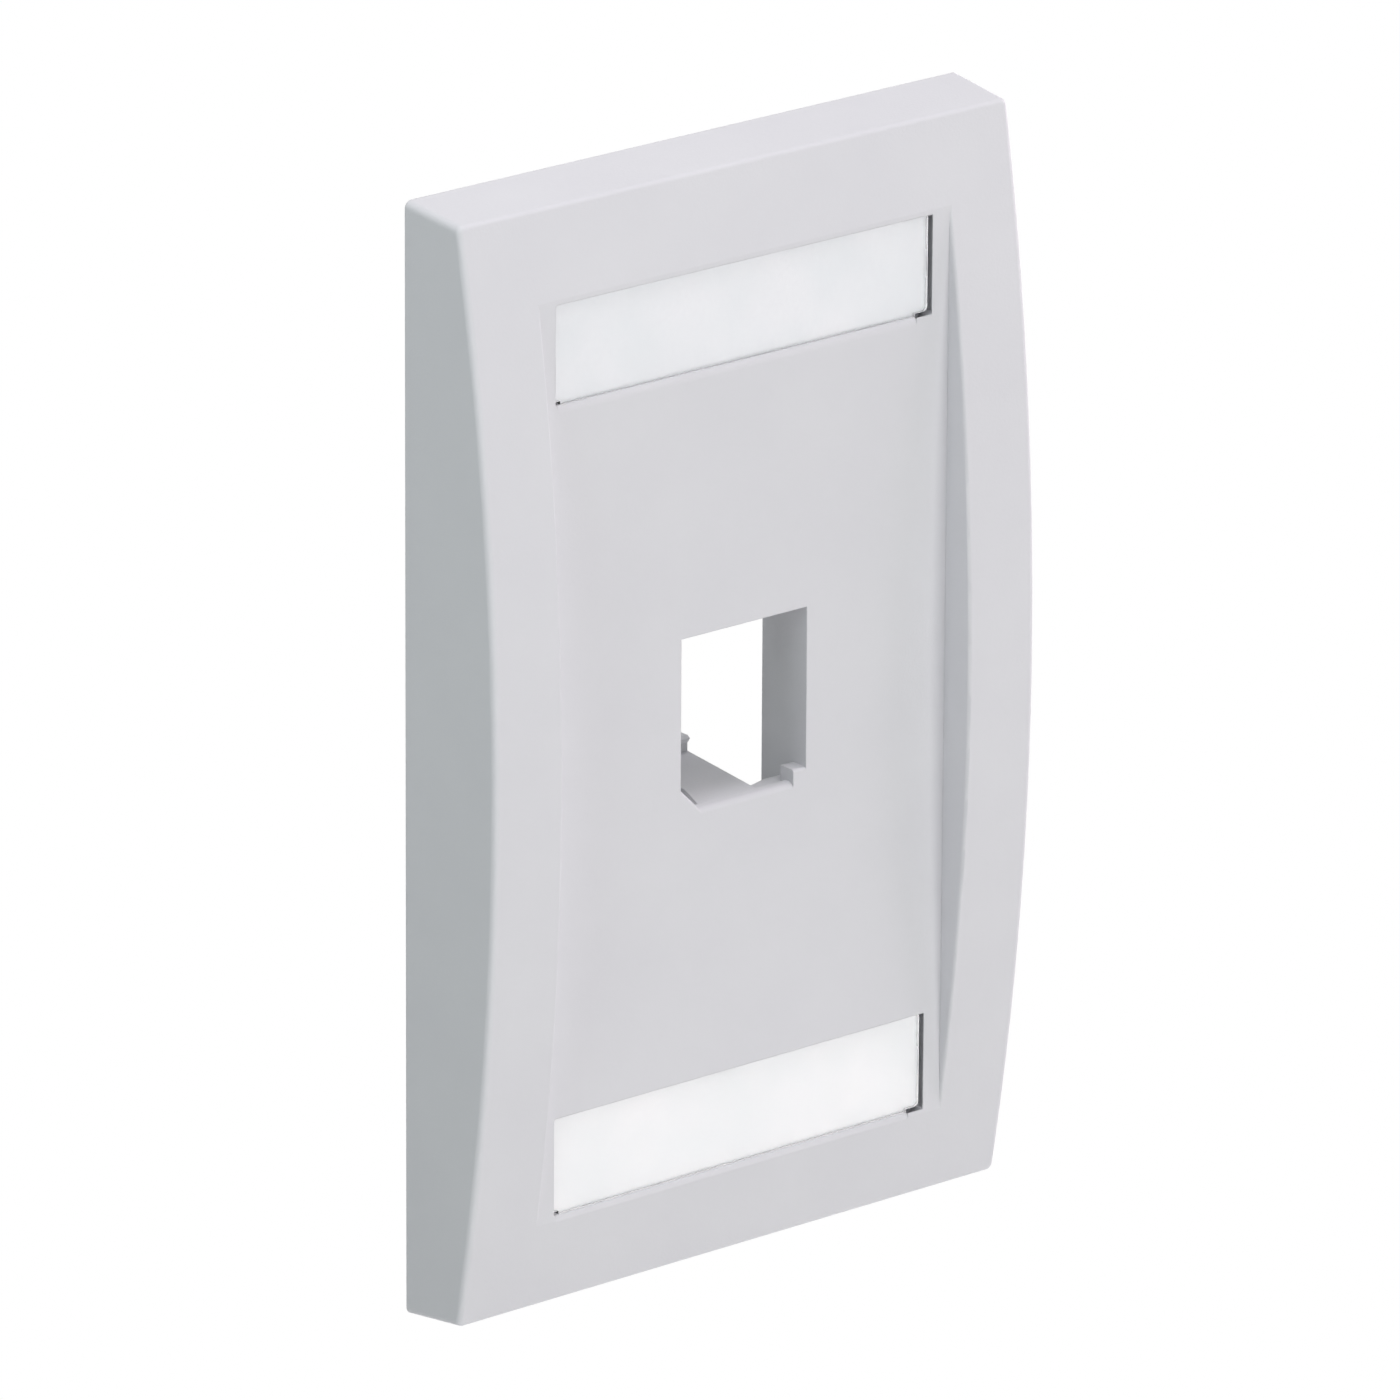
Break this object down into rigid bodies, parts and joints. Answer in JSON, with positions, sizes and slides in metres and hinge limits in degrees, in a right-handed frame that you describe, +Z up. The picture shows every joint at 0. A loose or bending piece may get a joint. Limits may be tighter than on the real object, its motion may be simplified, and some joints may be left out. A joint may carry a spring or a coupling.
{
  "type": "keystone faceplate",
  "caption": "Single-gang wall faceplate with an arched front, a flat sunk panel, a snap-in jack port and label windows whose clear covers pull out over the fixing screws.",
  "frame": {"origin": "middle of the plate's back edge plane, where it meets the wall, half-way between the two fixing screws", "axes": "+Z up the plate, +Y into the wall, so the front faces -Y, and +X to the right seen from the front"},
  "size_m": [0.0698, 0.0256, 0.1142],
  "materials": {
    "moulded_plate": "fine moulded texture, light grey",
    "clear_cover": "clear moulded plastic, smooth",
    "label_card": "plain white card",
    "screw_steel": "zinc plated"
  },
  "bodies": {
    "faceplate": {"faceplate_body": "moulded_plate", "upper_fixing_screw": "screw_steel", "lower_fixing_screw": "screw_steel"},
    "upper_cover": {"upper_label_cover": "clear_cover", "upper_label": "label_card"},
    "lower_cover": {"lower_label_cover": "clear_cover", "lower_label": "label_card"}
  },
  "joints": [
    {"name": "upper_cover_pull", "type": "slide", "parent": "faceplate", "child": "upper_cover", "axis": [0, -1, 0], "range_m": [0, 0.012]},
    {"name": "lower_cover_pull", "type": "slide", "parent": "faceplate", "child": "lower_cover", "axis": [0, -1, 0], "range_m": [0, 0.012]}
  ]
}
